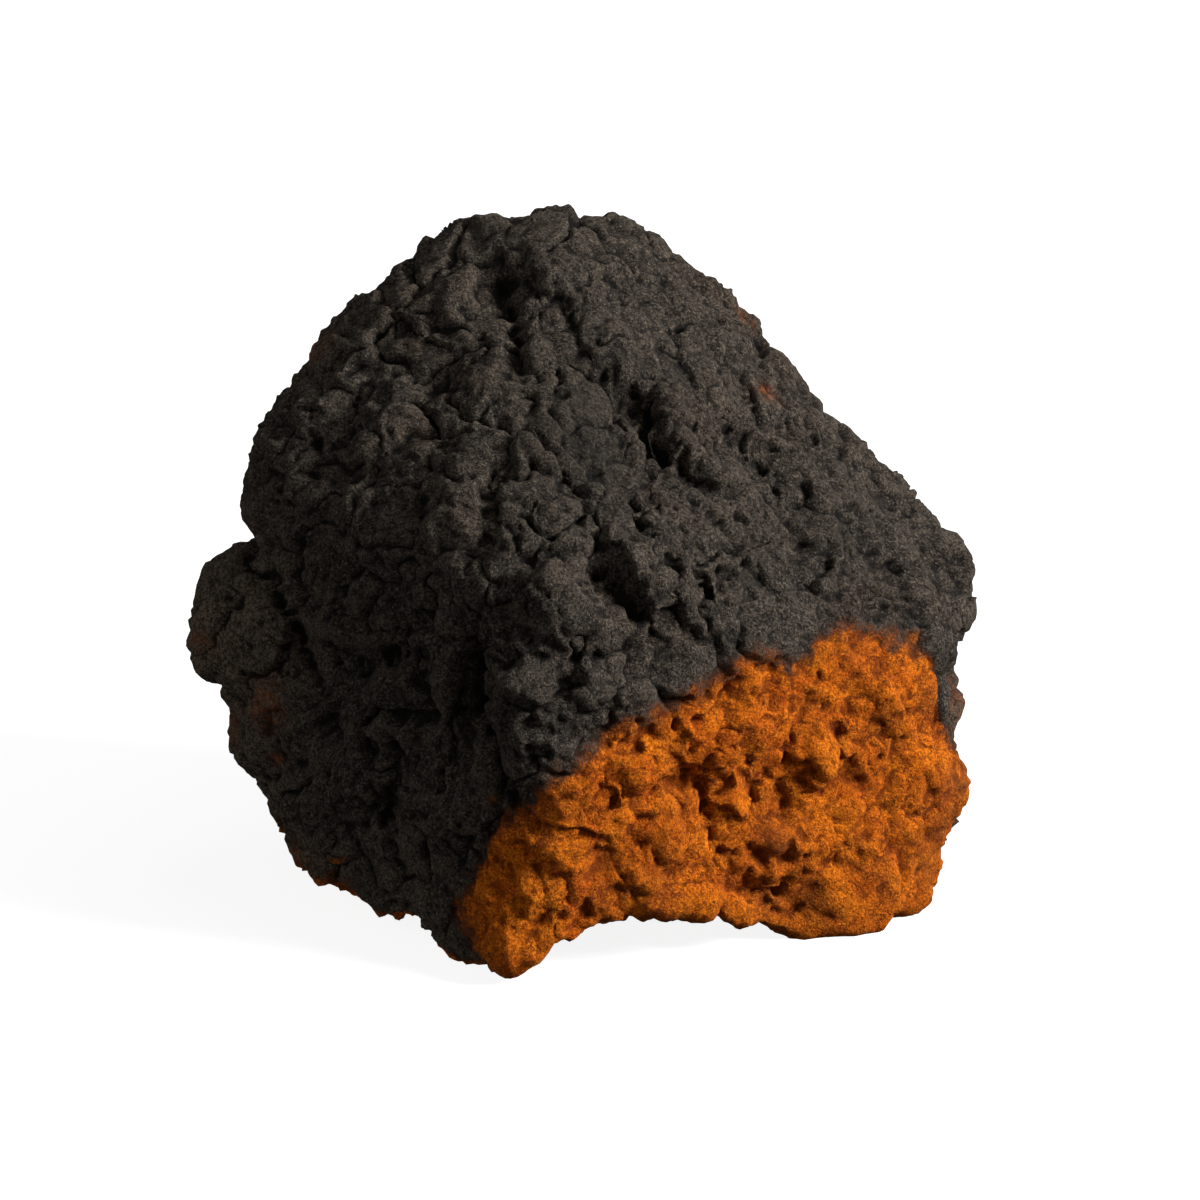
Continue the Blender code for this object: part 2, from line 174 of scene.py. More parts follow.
# Cracks and clefts seen in the photograph: half width, depth, and the way in pixels
CRACKS = (
    (1.0, 2.0, ((514, 306), (513, 325), (516, 344), (522, 360), (516, 376))),
    (0.8, 1.6, ((511, 266), (526, 286), (549, 296), (566, 306), (574, 319))),
    (0.6, 1.2, ((430, 261), (455, 271), (473, 280), (486, 283))),
    (0.5, 1.3, ((461, 341), (480, 338), (499, 341), (512, 339))),
    (0.5, 1.4, ((463, 343), (468, 356), (474, 368), (484, 380))),
    (0.5, 1.0, ((541, 300), (541, 326), (549, 338), (559, 346), (572, 352))),
    (0.7, 1.6, ((594, 319), (597, 336), (597, 346), (591, 372), (586, 386))),
    (0.5, 1.2, ((549, 394), (559, 402), (572, 407), (571, 421), (577, 435))),
    (1.2, 2.4, ((620, 394), (638, 399), (647, 416), (648, 440), (660, 461), (683, 476), (700, 484))),
    (0.45, 1.3, ((635, 462), (626, 480), (622, 496), (611, 511))),
    (0.7, 1.6, ((706, 346), (712, 358), (719, 376), (731, 386), (742, 390))),
    (0.8, 1.8, ((739, 451), (753, 462), (769, 474), (779, 482), (779, 500))),
    (0.5, 1.2, ((804, 419), (811, 434), (824, 451), (832, 462))),
    (0.5, 1.0, ((746, 335), (761, 348), (770, 360))),
    (0.5, 1.1, ((780, 505), (795, 512), (812, 530))),
    (0.8, 1.8, ((377, 378), (356, 395), (352, 413), (348, 436), (348, 471), (357, 478))),
    (0.7, 1.6, ((396, 385), (389, 400), (387, 423), (392, 446))),
    (0.6, 1.2, ((380, 466), (394, 476), (407, 481), (412, 489))),
    (0.5, 1.4, ((420, 508), (422, 490), (430, 468), (446, 458), (462, 455), (480, 468))),
    (1.6, 3.0, ((246, 545), (256, 566), (272, 578), (282, 600), (298, 628), (306, 649), (312, 672),
                (332, 702))),
    (0.8, 1.8, ((240, 661), (253, 676), (270, 676), (285, 668), (300, 660))),
    (0.8, 2.2, ((333, 656), (352, 672), (372, 670), (389, 658), (410, 657), (430, 655))),
    (0.8, 1.8, ((434, 640), (434, 668), (430, 690))),
    (0.6, 1.4, ((341, 826), (353, 839), (369, 853), (393, 866), (403, 874))),
    (1.1, 2.4, ((400, 748), (402, 775), (390, 800), (381, 826), (392, 849), (406, 866), (412, 882))),
    (0.7, 1.5, ((436, 761), (442, 775), (442, 790), (430, 793))),
    (0.7, 1.5, ((490, 812), (469, 819), (452, 829), (429, 836))),
    (0.6, 1.6, ((506, 583), (513, 568), (526, 558), (543, 558), (556, 556), (566, 564), (573, 575))),
    (0.7, 1.8, ((582, 594), (590, 578), (606, 572), (612, 590))),
    (1.2, 2.4, ((478, 640), (480, 660), (486, 690), (492, 720), (500, 745), (503, 775), (520, 796),
                (535, 802))),
    (0.5, 1.2, ((645, 510), (660, 522), (668, 540), (664, 560), (655, 580))),
    (0.5, 0.9, ((600, 545), (606, 570), (622, 592), (640, 605), (650, 625))),
    (0.6, 1.3, ((686, 515), (680, 535), (688, 556), (704, 556))),
    (0.5, 1.0, ((862, 498), (872, 515), (880, 530))),
    (0.9, 1.6, ((900, 505), (915, 530), (925, 560), (938, 590), (944, 604))),
    (0.5, 1.1, ((800, 575), (806, 590), (800, 600))),
    (0.5, 1.1, ((448, 660), (455, 672), (470, 680), (480, 676))),
    (0.6, 1.2, ((404, 700), (416, 718), (440, 722), (452, 716))),
    (0.6, 1.2, ((395, 740), (412, 752), (426, 760))),
    (0.5, 1.2, ((345, 800), (342, 815), (352, 832))),
    (0.5, 1.1, ((290, 500), (300, 520), (318, 530), (324, 515))),
    (0.5, 1.1, ((340, 500), (345, 525), (340, 545), (356, 560))),
    (0.5, 1.1, ((376, 500), (378, 525), (372, 545))),
    (0.6, 1.2, ((300, 400), (312, 415), (330, 420))),
)
FACE_CRACKS = (
    (0.9, 2.2, ((684, 766), (694, 776), (702, 784), (706, 805), (705, 834), (712, 846))),
    (0.6, 1.4, ((672, 768), (654, 778), (642, 796))),
    (0.5, 1.2, ((745, 735), (733, 740), (724, 748))),
    (0.5, 1.2, ((828, 719), (815, 730), (801, 746), (798, 765))),
    (0.5, 1.2, ((640, 850), (660, 862), (680, 860), (696, 850))),
    (0.5, 1.2, ((670, 876), (690, 882), (705, 884), (720, 878))),
    (0.6, 1.4, ((760, 898), (775, 906), (795, 908), (815, 900))),
    (0.5, 1.0, ((590, 796), (605, 800), (622, 798))),
    (0.5, 1.0, ((535, 885), (550, 890), (565, 884), (580, 888))),
    (0.5, 1.0, ((866, 746), (866, 762), (876, 776), (890, 780))),
)

# Hollows seen in the photograph: radius, depth, and the place in pixels
HOLLOWS = (
    (3.2, 4.5, (503, 288)), (2.0, 2.0, (603, 420)), (2.4, 2.5, (362, 673)), (2.2, 2.2, (594, 588)),
    (4.5, 2.0, (500, 627)), (3.0, 0.8, (640, 612)), (1.4, 1.4, (800, 586)), (2.5, 1.5, (515, 235)),
    (4.0, 2.0, (440, 385)), (3.0, 1.6, (400, 360)), (5.0, 2.0, (335, 440)), (3.0, 2.5, (300, 650)),
    (4.5, 2.5, (325, 715)), (4.0, 2.0, (475, 735)), (2.0, 1.4, (660, 350)), (2.4, 1.2, (775, 425)),
    (4.0, 1.6, (540, 525)), (2.0, 1.2, (610, 235)), (2.5, 1.2, (700, 325)),
    (8.0, 2.6, (405, 708)), (6.0, 2.2, (345, 690)), (7.0, 2.4, (465, 705)), (6.0, 1.8, (300, 765)),
    (7.0, 2.0, (385, 822)), (6.0, 1.6, (480, 850)), (5.0, 1.6, (575, 580)), (5.0, 1.5, (420, 640)),
)
FACE_HOLLOWS = (
    (1.5, 2.6, (784, 802)), (1.0, 1.6, (766, 771)), (1.1, 1.6, (764, 864)), (0.9, 1.4, (896, 674)),
    (0.9, 1.3, (935, 768)), (0.8, 1.3, (804, 840)), (1.0, 1.5, (914, 848)), (1.0, 1.4, (758, 698)),
    (0.9, 1.2, (818, 818)), (0.9, 1.2, (918, 826)), (0.8, 1.2, (898, 714)), (1.0, 1.2, (762, 678)),
    (3.5, 1.4, (680, 790)), (0.8, 1.2, (600, 812)), (0.9, 1.2, (596, 796)), (1.2, 1.4, (626, 878)),
    (0.8, 1.1, (850, 850)), (0.9, 1.3, (810, 872)), (0.8, 1.0, (845, 720)), (0.7, 1.0, (780, 685)),
    (5.0, 2.2, (770, 906)), (1.0, 1.0, (718, 884)), (0.8, 1.0, (890, 880)), (0.8, 1.0, (866, 700)),
)

# Rust-orange dust on the crust: radius, amount, and the place in pixels
DUST = (
    (2.6, 1.0, (766, 396)), (5.0, 0.5, (268, 705)), (1.5, 0.8, (277, 758)), (1.0, 1.0, (492, 801)),
    (6.0, 0.5, (300, 872)), (7.0, 0.5, (352, 900)), (7.0, 0.5, (425, 936)), (3.0, 0.4, (200, 640)),
    (4.0, 0.3, (318, 348)), (3.0, 0.4, (745, 318)), (6.0, 0.4, (955, 700)), (5.0, 0.4, (240, 730)),
)

# Where the crust is painted paler and browner: in part painted light, which brightens the left lobe, and in
# part the crust's browner tone: radius, amount, and the place in pixels
LIGHTENED_PATCHES = (
    (17.0, 1.0, (235, 615)), (14.0, 1.0, (218, 665)), (16.0, 0.5, (255, 770)), (14.0, 0.5, (330, 885)),
    (12.0, 0.4, (410, 900)), (10.0, 0.4, (300, 340)),
)

# Painted shade: places where the crust's colour is darkened to stand for the shade that falls there:
# radius, amount, and the place in pixels
PAINTED_SHADE_SPOTS = ((18.0, 1.0, (590, 440)), (14.0, 0.7, (525, 695)), (20.0, 0.35, (870, 560)))

# Where the broken face is browner: radius, amount, and the place in pixels
BROWNED = (
    (5.0, 1.0, (774, 842)), (6.0, 1.0, (962, 782)), (6.0, 0.9, (958, 745)), (7.0, 0.7, (945, 820)),
    (6.0, 0.6, (925, 860)), (5.0, 0.6, (935, 690)), (5.0, 0.5, (890, 880)), (5.0, 0.4, (815, 905)),
    (6.0, 0.6, (770, 905)), (4.0, 0.4, (855, 650)), (6.0, 0.3, (625, 880)),
)

# What the material reads of these
GUIDES = {"dust": DUST, "browned": BROWNED, "lightened": LIGHTENED_PATCHES, "painted_shade": PAINTED_SHADE_SPOTS}

# Lumps of the broken face: radius, height, and the place in pixels
FACE_LUMPS = (
    (6.0, 1.6, (667, 832)), (6.0, 1.5, (818, 757)), (4.0, 1.6, (775, 840)), (5.5, 1.4, (645, 875)),
    (5.0, 1.0, (705, 730)), (5.0, 1.0, (640, 770)), (6.0, 1.2, (850, 830)), (4.0, 1.0, (905, 800)),
    (5.0, 1.0, (560, 850)), (5.0, 1.0, (520, 890)), (4.0, 0.8, (760, 730)), (5.0, 1.0, (880, 700)),
    (4.0, 1.2, (800, 800)), (4.5, 1.0, (735, 850)), (6.0, 2.4, (511, 956)),
    (9.0, 3.0, (685, 901)), (5.0, 1.6, (655, 905)),
)

# How much of the listed depths and heights is made
CRACK_SHARE = 0.9
HOLLOW_SHARE = 0.5
FACE_HOLLOW_SHARE = 0.45
LUMP_SHARE = 1.4

# How listed cracks, hollows and lumps are made
WAY_SPACING = 3.0  # pixels between the places along a crack
CRACK_END = 0.12  # where a crack's half wave begins, so that it isn't nothing at its ends
CRACK_BENDS = ((9.0, 0.7), (3.5, 0.35))
SPOT_REACH = 2.5  # the farthest from a hollow or lump that it has an effect, in radii
SPOT_UNEVENNESS = 0.18
SPOT_WAVELENGTH = 1.6  # of its unevenness, in radii
SPOT_STEEPNESS = 2.4

# Relief finer than the blocks: height and wavelength
CRUST_FOLDS = ((0.3, 14), (0.10, 5.2))
CRUST_RIPPLES = ((0.07, 3.6), (0.05, 2.1))
FACE_FOLDS = ((0.35, 9.5), (0.08, 4.4))
FACE_RIPPLES = ((0.06, 2.6),)
FOLD_TOP = 1.5  # where a fold's crest is cut off
FOLD_SCALE = 0.8
PATCH_LENGTH = 34.0  # of the patches where the crust is smoother
SMOOTHEST = 0.35  # the finest blocks' share there

# Guides of how far each point stands out from those round it: name, and how often these are averaged. The
# material darkens the sunken points by them, as painted shade, and makes the crust's proud points paler.
STANDING_OUT = (("fine", 4), ("broad", 40))


def main():
    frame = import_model()
    conk = make_conk(frame["nodes"]["chaga"])
    conk.data.materials.append(conk_material())
    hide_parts("chaga")
    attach(conk, "root")
    make_floor()
    make_lights()
    make_camera()


# Places seen in the photograph


def pixels_of(points):
    """Where the points are seen in the photograph: across and down, in pixels."""
    from_camera = points - CAMERA
    depth = -from_camera @ NEAR
    across = from_camera @ RIGHT / depth * SIGHT / MM_PER_PIXEL
    up = from_camera @ UP / depth * SIGHT / MM_PER_PIXEL
    return PICTURE / 2 + across, PICTURE / 2 - up


def seen_at(tree, pixels):
    """The surface's points that are seen at the pixels."""
    found = []
    for across, down in pixels:
        right = RIGHT * (across - PICTURE / 2) * MM_PER_PIXEL
        up = UP * (PICTURE / 2 - down) * MM_PER_PIXEL
        target = AIM + right + up
        ahead = target - CAMERA
        hit = tree.ray_cast(Vector(CAMERA), Vector(ahead))[0]
        if hit is None:
            hit = tree.find_nearest(Vector(target))[0]
        found.append(hit)
    return np.array(found)


def along(way, step):
    """Places every step along a way."""
    way = np.array(way, float)
    length = np.concatenate([[0], np.cumsum(np.linalg.norm(np.diff(way, axis=0), axis=1))])
    at = np.linspace(0, length[-1], int(length[-1] / step) + 2)
    return np.stack([np.interp(at, length, way[:, 0]), np.interp(at, length, way[:, 1])], axis=1)


# Formulas that give relief


def unit(vectors):
    """The vectors at length 1."""
    return vectors / np.linalg.norm(vectors, axis=1)[:, None]


def smooth(values):
    """The values held between 0 and 1, and eased at both ends."""
    values = np.clip(values, 0, 1)
    return values * values * (3 - 2 * values)


def ripple(points, wavelength, seed):
    """An uneven rise and fall all through space, about as long as the wavelength and about 1 high."""
    draw = np.random.default_rng(seed)
    total = np.zeros(len(points))
    for _ in range(WAVES):
        wave = draw.normal(size=3)
        wave *= 2 * math.pi / wavelength / np.linalg.norm(wave)
        total += np.sin(points @ wave + draw.uniform(0, 2 * math.pi))
    return total * math.sqrt(2 / WAVES)


def folds(places, wavelength, seed):
    """Rounded lumps with creases between them, from 0 in the creases to about 1."""
    return np.minimum(np.abs(ripple(places, wavelength, seed)), FOLD_TOP) * FOLD_SCALE


def layered(formula, places, layers, seed):
    """A formula's layers together, each given by its height and its wavelength."""
    return sum(
        height * formula(places, wavelength, seed + index)
        for index, (height, wavelength) in enumerate(layers)
    )


def bend(points, bends, seed):
    """The points moved a little, so that what is laid out from them has no straight edges. Each bend is a
    wavelength and how far it moves them."""
    bent = points.copy()
    for wavelength, reach in bends:
        for axis in range(3):
            bent[:, axis] += reach * ripple(points, wavelength, seed + 10 * axis)
    return bent


def finely_bent(places):
    """The places moved so that the fine blocks' edges are ragged."""
    return bend(places, FINE_BENDS, SEED + 2)


class Surface:
    """The fine mesh's points, with what the relief needs to know of them."""

    def __init__(self, mesh):
        self.mesh = mesh
        self.points = np.empty(len(mesh.vertices) * 3)
        mesh.vertices.foreach_get("co", self.points)
        self.points = self.points.reshape(-1, 3)
        edges = np.empty(len(mesh.edges) * 2, int)
        mesh.edges.foreach_get("vertices", edges)
        self.ends = edges.reshape(-1, 2)
        self.neighbours = np.bincount(self.ends.ravel(), minlength=len(self.points))

    def smoothed(self, values, rounds):
        """The values, each averaged with its neighbours' so many times."""
        a, b = self.ends.T
        values = values.reshape(len(self.points), -1)
        for _ in range(rounds):
            total = np.empty_like(values)
            for column in range(values.shape[1]):
                total[:, column] = np.bincount(a, values[b, column], len(values))
                total[:, column] += np.bincount(b, values[a, column], len(values))
            values = 0.5 * values + 0.5 * total / self.neighbours[:, None]
        return values.squeeze()

    def evened(self, values, rounds, width):
        """The values without their small unevenness. Each averaging is followed by its opposite, so that
        corners aren't worn off."""
        for _ in range(rounds):
            values = self.smoothed(values, width)
            values = values + OPPOSITE * (values - self.smoothed(values, width))
        return values

    def put(self, points):
        self.points = points
        self.mesh.vertices.foreach_set("co", points.ravel())
        self.mesh.update()

    def normals(self):
        normals = np.empty(len(self.points) * 3)
        self.mesh.vertex_normals.foreach_get("vector", normals)
        return normals.reshape(-1, 3)

    def tree(self):
        polygons = [polygon.vertices[:] for polygon in self.mesh.polygons]
        return BVHTree.FromPolygons([Vector(point) for point in self.points], polygons)


def plated_share(places):
    """1 on the right slope, whose blocks are flat plates, and 0 elsewhere."""
    right, up = ((places[:, axis] - PLATED_FROM[axis]) / PLATED_OVER[axis] for axis in (0, 1))
    return smooth(right) * smooth(up)


class Blocks:
    """Space split into blocks, each the part nearest to its own seed, at its own level and slope."""

    def __init__(self, spacing, level, tilt, join, bends, seed):
        self.spacing = spacing
        self.join = join
        self.bends = bends
        self.seed = seed
        self.rows = 2 * math.ceil(LATTICE_REACH / spacing)
        draw = np.random.default_rng(seed)
        corners = np.indices((self.rows,) * 3).reshape(3, -1).T - self.rows // 2
        self.seeds = (corners + draw.uniform(0, 1, corners.shape)) * spacing
        self.levels = draw.uniform(-level, level, len(corners))
        self.slopes = draw.normal(0, tilt, corners.shape)
        self.slopes += plated_share(self.seeds)[:, None] * np.array(PLATE_LEAN)

    def read(self, places):
        """The blocks' height at the places, how far the nearest edge is, and that edge's number."""
        places = bend(places, self.bends, self.seed)
        rows = self.rows
        cell = np.floor(places / self.spacing).astype(int) + rows // 2
        home = np.ravel_multi_index(cell.T, (rows,) * 3)
        steps = [(x * rows + y) * rows + z for x in (-1, 0, 1) for y in (-1, 0, 1) for z in (-1, 0, 1)]
        squares = np.stack([np.sum((places - self.seeds[home + step]) ** 2, axis=1) for step in steps])
        nearest = squares.min(axis=0)
        own = home + np.array(steps)[squares.argmin(axis=0)]
        other = own.copy()
        edge = np.full(len(places), FAR)
        total = np.zeros(len(places))
        weights = np.zeros(len(places))
        for step, square in zip(steps, squares):
            block = home + step
            apart = np.linalg.norm(self.seeds[block] - self.seeds[own], axis=1)
            past = (square - nearest) / np.maximum(2 * apart, 1)
            rise = np.sum((places - self.seeds[block]) * self.slopes[block], axis=1)
            weight = np.exp(-past / self.join)
            total += weight * (self.levels[block] + np.clip(rise, -MOST_TILTED, MOST_TILTED))
            weights += weight
            nearer = (block != own) & (past < edge)
            edge[nearer] = past[nearer]
            other[nearer] = block[nearer]
        low, high = EDGE_MIXERS
        mixed = np.minimum(own, other) * low + np.maximum(own, other) * high
        return total / weights, edge, mixed % EDGE_NUMBERS / EDGE_NUMBERS


def valley(edge, drop, rounding):
    """How much lower a block is towards its edges."""
    return drop * (1 - smooth(edge / rounding))


def crack(edge, number, closed, half_width, depth):
    """Cracks along some of the blocks' edges; closed is the share of edges that have none."""
    return depth * smooth((number - closed) / CRACK_OPENING) * np.exp(-((edge / half_width) ** 2))


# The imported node's own blocks, and sharp ones in their places: only level and tilt differ
NODE_BLOCKS = Blocks(spacing=13.0, level=1.1, tilt=0.05, join=0.3, bends=NODE_BENDS, seed=NODE_SEED)
SHARP_BLOCKS = Blocks(spacing=13.0, level=0.8, tilt=0.14, join=0.3, bends=NODE_BENDS, seed=NODE_SEED)
CRUST_PLATES = Blocks(
    spacing=6.2, level=0.23, tilt=0.10, join=0.15, bends=((9.0, 0.9), (3.4, 0.45)), seed=SEED + 21
)
CRUST_CHIPS = Blocks(
    spacing=3.2, level=0.08, tilt=0.09, join=0.12, bends=((5.0, 0.5), (2.4, 0.25)), seed=SEED + 31
)
FACE_BLOCKS = Blocks(
    spacing=9.0, level=0.35, tilt=0.12, join=0.25, bends=((13.0, 1.4), (5.0, 0.6)), seed=SEED + 40
)
FACE_CHIPS = Blocks(
    spacing=4.2, level=0.09, tilt=0.09, join=0.15, bends=((6.0, 0.7), (2.6, 0.35)), seed=SEED + 50
)


def nearest_of(surface, places):
    """Each point's distance from the nearest place, and that place's number."""
    tree = KDTree(len(places))
    for index, place in enumerate(places):
        tree.insert(place, index)
    tree.balance()
    found = [tree.find(point) for point in surface.points]
    return np.array([gap for _, _, gap in found]), np.array([index for _, index, _ in found])


def depth_of_cracks(surface, tree, cracks):
    """How deep the listed cracks cut the surface. Each runs out at its ends."""
    places, widths, depths = [], [], []
    for width, depth, way in cracks:
        seen = seen_at(tree, along(way, WAY_SPACING))
        taper = np.sin(np.linspace(CRACK_END, math.pi - CRACK_END, len(seen))) ** 0.5
        places.append(seen)
        widths.append(width * (0.5 + 0.5 * taper))
        depths.append(depth * taper)
    places = bend(np.concatenate(places), CRACK_BENDS, SEED)
    gap, nearest = nearest_of(surface, places)
    width = np.concatenate(widths)[nearest]
    return np.concatenate(depths)[nearest] * np.exp(-((gap / width) ** 2))


def depth_of_spots(surface, tree, spots):
    """How far the listed round hollows or lumps reach into or out of the surface."""
    depth = np.zeros(len(surface.points))
    for radius, reach, pixel in spots:
        place = seen_at(tree, [pixel])[0]
        gap = np.linalg.norm(surface.points - place, axis=1)
        close = gap < SPOT_REACH * radius
        uneven = ripple(surface.points[close], radius * SPOT_WAVELENGTH, SEED + int(pixel[0]))
        gap = gap[close] * (1 + SPOT_UNEVENNESS * uneven)
        depth[close] = np.maximum(depth[close], reach * np.exp(-((gap / radius) ** SPOT_STEEPNESS)))
    return depth


# The conk


def new_object(name, data):
    """A new object in the scene."""
    thing = bpy.data.objects.new(name, data)
    bpy.context.scene.collection.objects.link(thing)
    return thing


def cube_sphere():
    """A cube's squares, turned into directions all round that are closer together at the front."""
    grid = bmesh.new()
    bmesh.ops.create_cube(grid, size=2)
    bmesh.ops.subdivide_edges(grid, edges=grid.edges[:], cuts=GRID - 1, use_grid_fill=True)
    mesh = bpy.data.meshes.new("conk")
    grid.to_mesh(mesh)
    grid.free()
    directions = np.empty(len(mesh.vertices) * 3)
    mesh.vertices.foreach_get("co", directions)
    directions = unit(np.tan(directions.reshape(-1, 3) * math.pi / 4))
    return mesh, unit(directions + FRONT_SHARE * NEAR)


def make_base(node):
    """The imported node's form as an even mesh of squares, with its facets smoothed over."""
    points = [vertex.co / MM for vertex in node.data.vertices]
    tree = BVHTree.FromPolygons(points, [polygon.vertices[:] for polygon in node.data.polygons])
    mesh, directions = cube_sphere()
    surface = Surface(mesh)
    starts = MIDDLE + directions * START
    hits = [tree.ray_cast(Vector(a), Vector(b))[0] for a, b in zip(starts, -directions)]
    surface.put(np.array(hits))
    for _ in range(RETURNS):
        surface.put(surface.smoothed(surface.points, rounds=6))
        surface.put(np.array([tree.find_nearest(Vector(point))[0] for point in surface.points]))
    surface.put(surface.evened(surface.points, rounds=8, width=1))
    return surface


def halved(mesh):
    """The mesh with each square cut in four, and rounded."""
    conk = new_object("base", mesh)
    conk.modifiers.new("halve", "SUBSURF").levels = 1
    return modified_mesh(conk)


def thinned(mesh):
    """The mesh in fewer triangles, fewest where it is flat."""
    conk = new_object("fine", mesh)
    conk.modifiers.new("thin", "DECIMATE").ratio = TRIANGLES / (2 * len(mesh.polygons))
    mesh = modified_mesh(conk)
    triangles = bmesh.new()
    triangles.from_mesh(mesh)
    bmesh.ops.triangulate(triangles, faces=triangles.faces[:])
    triangles.to_mesh(mesh)
    triangles.free()
    return mesh


def modified_mesh(thing):
    """The object's mesh with its modifiers applied; the object goes."""
    depsgraph = bpy.context.evaluated_depsgraph_get()
    mesh = bpy.data.meshes.new_from_object(thing.evaluated_get(depsgraph))
    bpy.data.objects.remove(thing)
    return mesh


def on_front(points):
    """The points from the conk's middle: right, up and towards the viewer."""
    return (points - MIDDLE) @ np.stack([RIGHT, UP, NEAR], axis=1)


def lesser(a, b, rounding):
    """The smaller of two lengths, with the corner between them rounded."""
    share = np.clip(0.5 + 0.5 * (b - a) / rounding, 0, 1)
    return b + (a - b) * share - rounding * share * (1 - share)


def outline_reach(angles, near):
    """How far the outline is from the middle at each angle, its small bends fading towards the viewer."""
    points = np.array(OUTLINE, float)
    at = np.arctan2(points[:, 1], points[:, 0])
    order = np.argsort(at)
    every = np.linspace(-math.pi, math.pi, ANGLES + 1)[:-1]
    full = np.interp(every, at[order], np.hypot(*points[order].T), period=2 * math.pi)
    bell = np.exp(-(((np.arange(ANGLES) - ANGLES // 2) / OUTLINE_BLUR) ** 2))
    around = np.convolve(np.tile(full, 3), bell / bell.sum(), mode="same")[ANGLES : 2 * ANGLES]
    fine = np.interp(angles, every, full, period=2 * math.pi)
    broad = np.interp(angles, every, around, period=2 * math.pi)
    return broad + (fine - broad) * np.exp(-((near / OUTLINE_DEPTH) ** 2))


def on_body(points):
    """The places on the body, before its relief, that the points stand over."""
    directions = unit(on_front(points))
    right, up, near = directions.T
    across = np.hypot(right, up) / outline_reach(np.arctan2(up, right), near)
    deep = np.abs(near) / np.where(near > 0, FRONT_REACH, BACK_REACH)
    reach = (across**FULLNESS + deep**FULLNESS) ** (-1 / FULLNESS)
    for outward, distance in FACES:
        slope = directions @ np.array(outward) / np.linalg.norm(outward)
        face = np.where(slope > GRAZING, distance / np.maximum(slope, GRAZING), FAR)
        reach = lesser(reach, face, EDGE_ROUNDING)
    return directions * reach[:, None]


def into_face(points):
    """How far inside the broken face's edges the points are."""
    across, down = pixels_of(points)
    near = on_front(points)[:, 2]
    top = np.array(BREAK_TOP, float)
    left = np.array(BREAK_LEFT, float)
    edge = np.interp(across, top[:, 0], top[:, 1], left=BELOW_PICTURE, right=BELOW_PICTURE)
    below = (down - edge) * MM_PER_PIXEL
    beside = (across - np.interp(down, left[:, 1], left[:, 0])) * MM_PER_PIXEL
    within = np.minimum(np.minimum(below, beside), near + BREAK_BACK)
    return np.clip(within + layered(ripple, points, BREAK_RIPPLES, SEED), -GUIDE_REACH, GUIDE_REACH)


def into_underside(surface, normals):
    """How far the points are on the front of the underside, which is broken too."""
    near = on_front(surface.points)[:, 2]
    facing_down = (-normals[:, 2] - UNDERSIDE_TURN) * UNDERSIDE_GRADE
    low = UNDERSIDE_TOP - surface.points[:, 2]
    within = np.minimum(np.minimum(facing_down, low), near + UNDERSIDE_BACK)
    within += ripple(surface.points, UNDERSIDE_WAVELENGTH, SEED + 2)
    return np.clip(within, -GUIDE_REACH, GUIDE_REACH)


def share_inside(inside):
    """1 where the points are well inside the broken face's edges, and 0 well outside."""
    return smooth(inside / BREAK_WIDTH + 0.5)


def node_blocks(places, inside):
    """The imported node's own blocks, which are soft."""
    height, edge, _ = NODE_BLOCKS.read(places)
    depth = NODE_VALLEY_DEPTH - NODE_PLATE_LESS * plated_share(places)
    height += NODE_LIFT - valley(edge, depth, NODE_VALLEY_WIDTH)
    return height * (1 - (1 - FACE_RELIEF) * inside)


def crust_blocks(places):
    """The same blocks as they look on the crust, with narrow valleys, ragged edges and open cracks."""
    height, edge, number = SHARP_BLOCKS.read(finely_bent(places))
    plated = plated_share(places)
    depth = (VALLEY_DEPTH - PLATE_LESS * plated) * (VALLEY_LEAST + VALLEY_SPREAD * number)
    height += BLOCK_LIFT - valley(edge, depth, VALLEY_WIDTH - PLATE_LESS * plated)
    return height - crack(edge, number, closed=0.64, half_width=0.45, depth=1.0)


def sharper_steps(places):
    """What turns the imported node's soft steps at its plates' edges into sharp ones."""
    height = np.zeros(len(places))
    places = bend(places, STEP_BENDS, SEED)
    for rise, way in STEPS:
        way = along(way, STEP_SPACING)
        ahead = np.gradient(way, axis=0)
        left = unit(np.stack([-ahead[:, 1], ahead[:, 0]], axis=1))
        chosen = np.flatnonzero(distance_2d(places, way) < STEP_WINDOW)
        across = places[chosen, None, :2] - way
        nearest = np.argmin(np.sum(across**2, axis=2), axis=1)
        offset = across[np.arange(len(chosen)), nearest]
        side = np.sum(offset * left[nearest], axis=1)
        gap = np.linalg.norm(offset, axis=1)
        change = np.tanh(side / SHARP_STEP) - np.tanh(side / SOFT_STEP)
        change *= np.exp(-gap / STEP_REACH) * smooth(places[chosen, 2] / STEP_FADE + 0.5)
        height[chosen] += rise * change
    return height


def distance_2d(places, way):
    """Roughly how far the places are from the way, as seen from the front."""
    middle = way.mean(axis=0)
    half = np.linalg.norm(way - middle, axis=1).max()
    return np.linalg.norm(places[:, :2] - middle, axis=1) - half


def crust_relief(surface, tree):
    """What is finer than the blocks, on the crust."""
    places = finely_bent(on_body(surface.points))
    height, edge, number = CRUST_PLATES.read(places)
    patches = smooth(0.5 + 0.5 * ripple(places, PATCH_LENGTH, SEED + 3))
    height = (SMOOTHEST + (1 - SMOOTHEST) * patches) * (height + CRUST_CHIPS.read(places)[0])
    height -= crack(edge, number, closed=0.90, half_width=0.4, depth=0.6)
    height += layered(folds, places, CRUST_FOLDS, SEED + 4)
    height += layered(ripple, places, CRUST_RIPPLES, SEED + 6)
    height -= CRACK_SHARE * depth_of_cracks(surface, tree, CRACKS)
    return height - HOLLOW_SHARE * depth_of_spots(surface, tree, HOLLOWS)


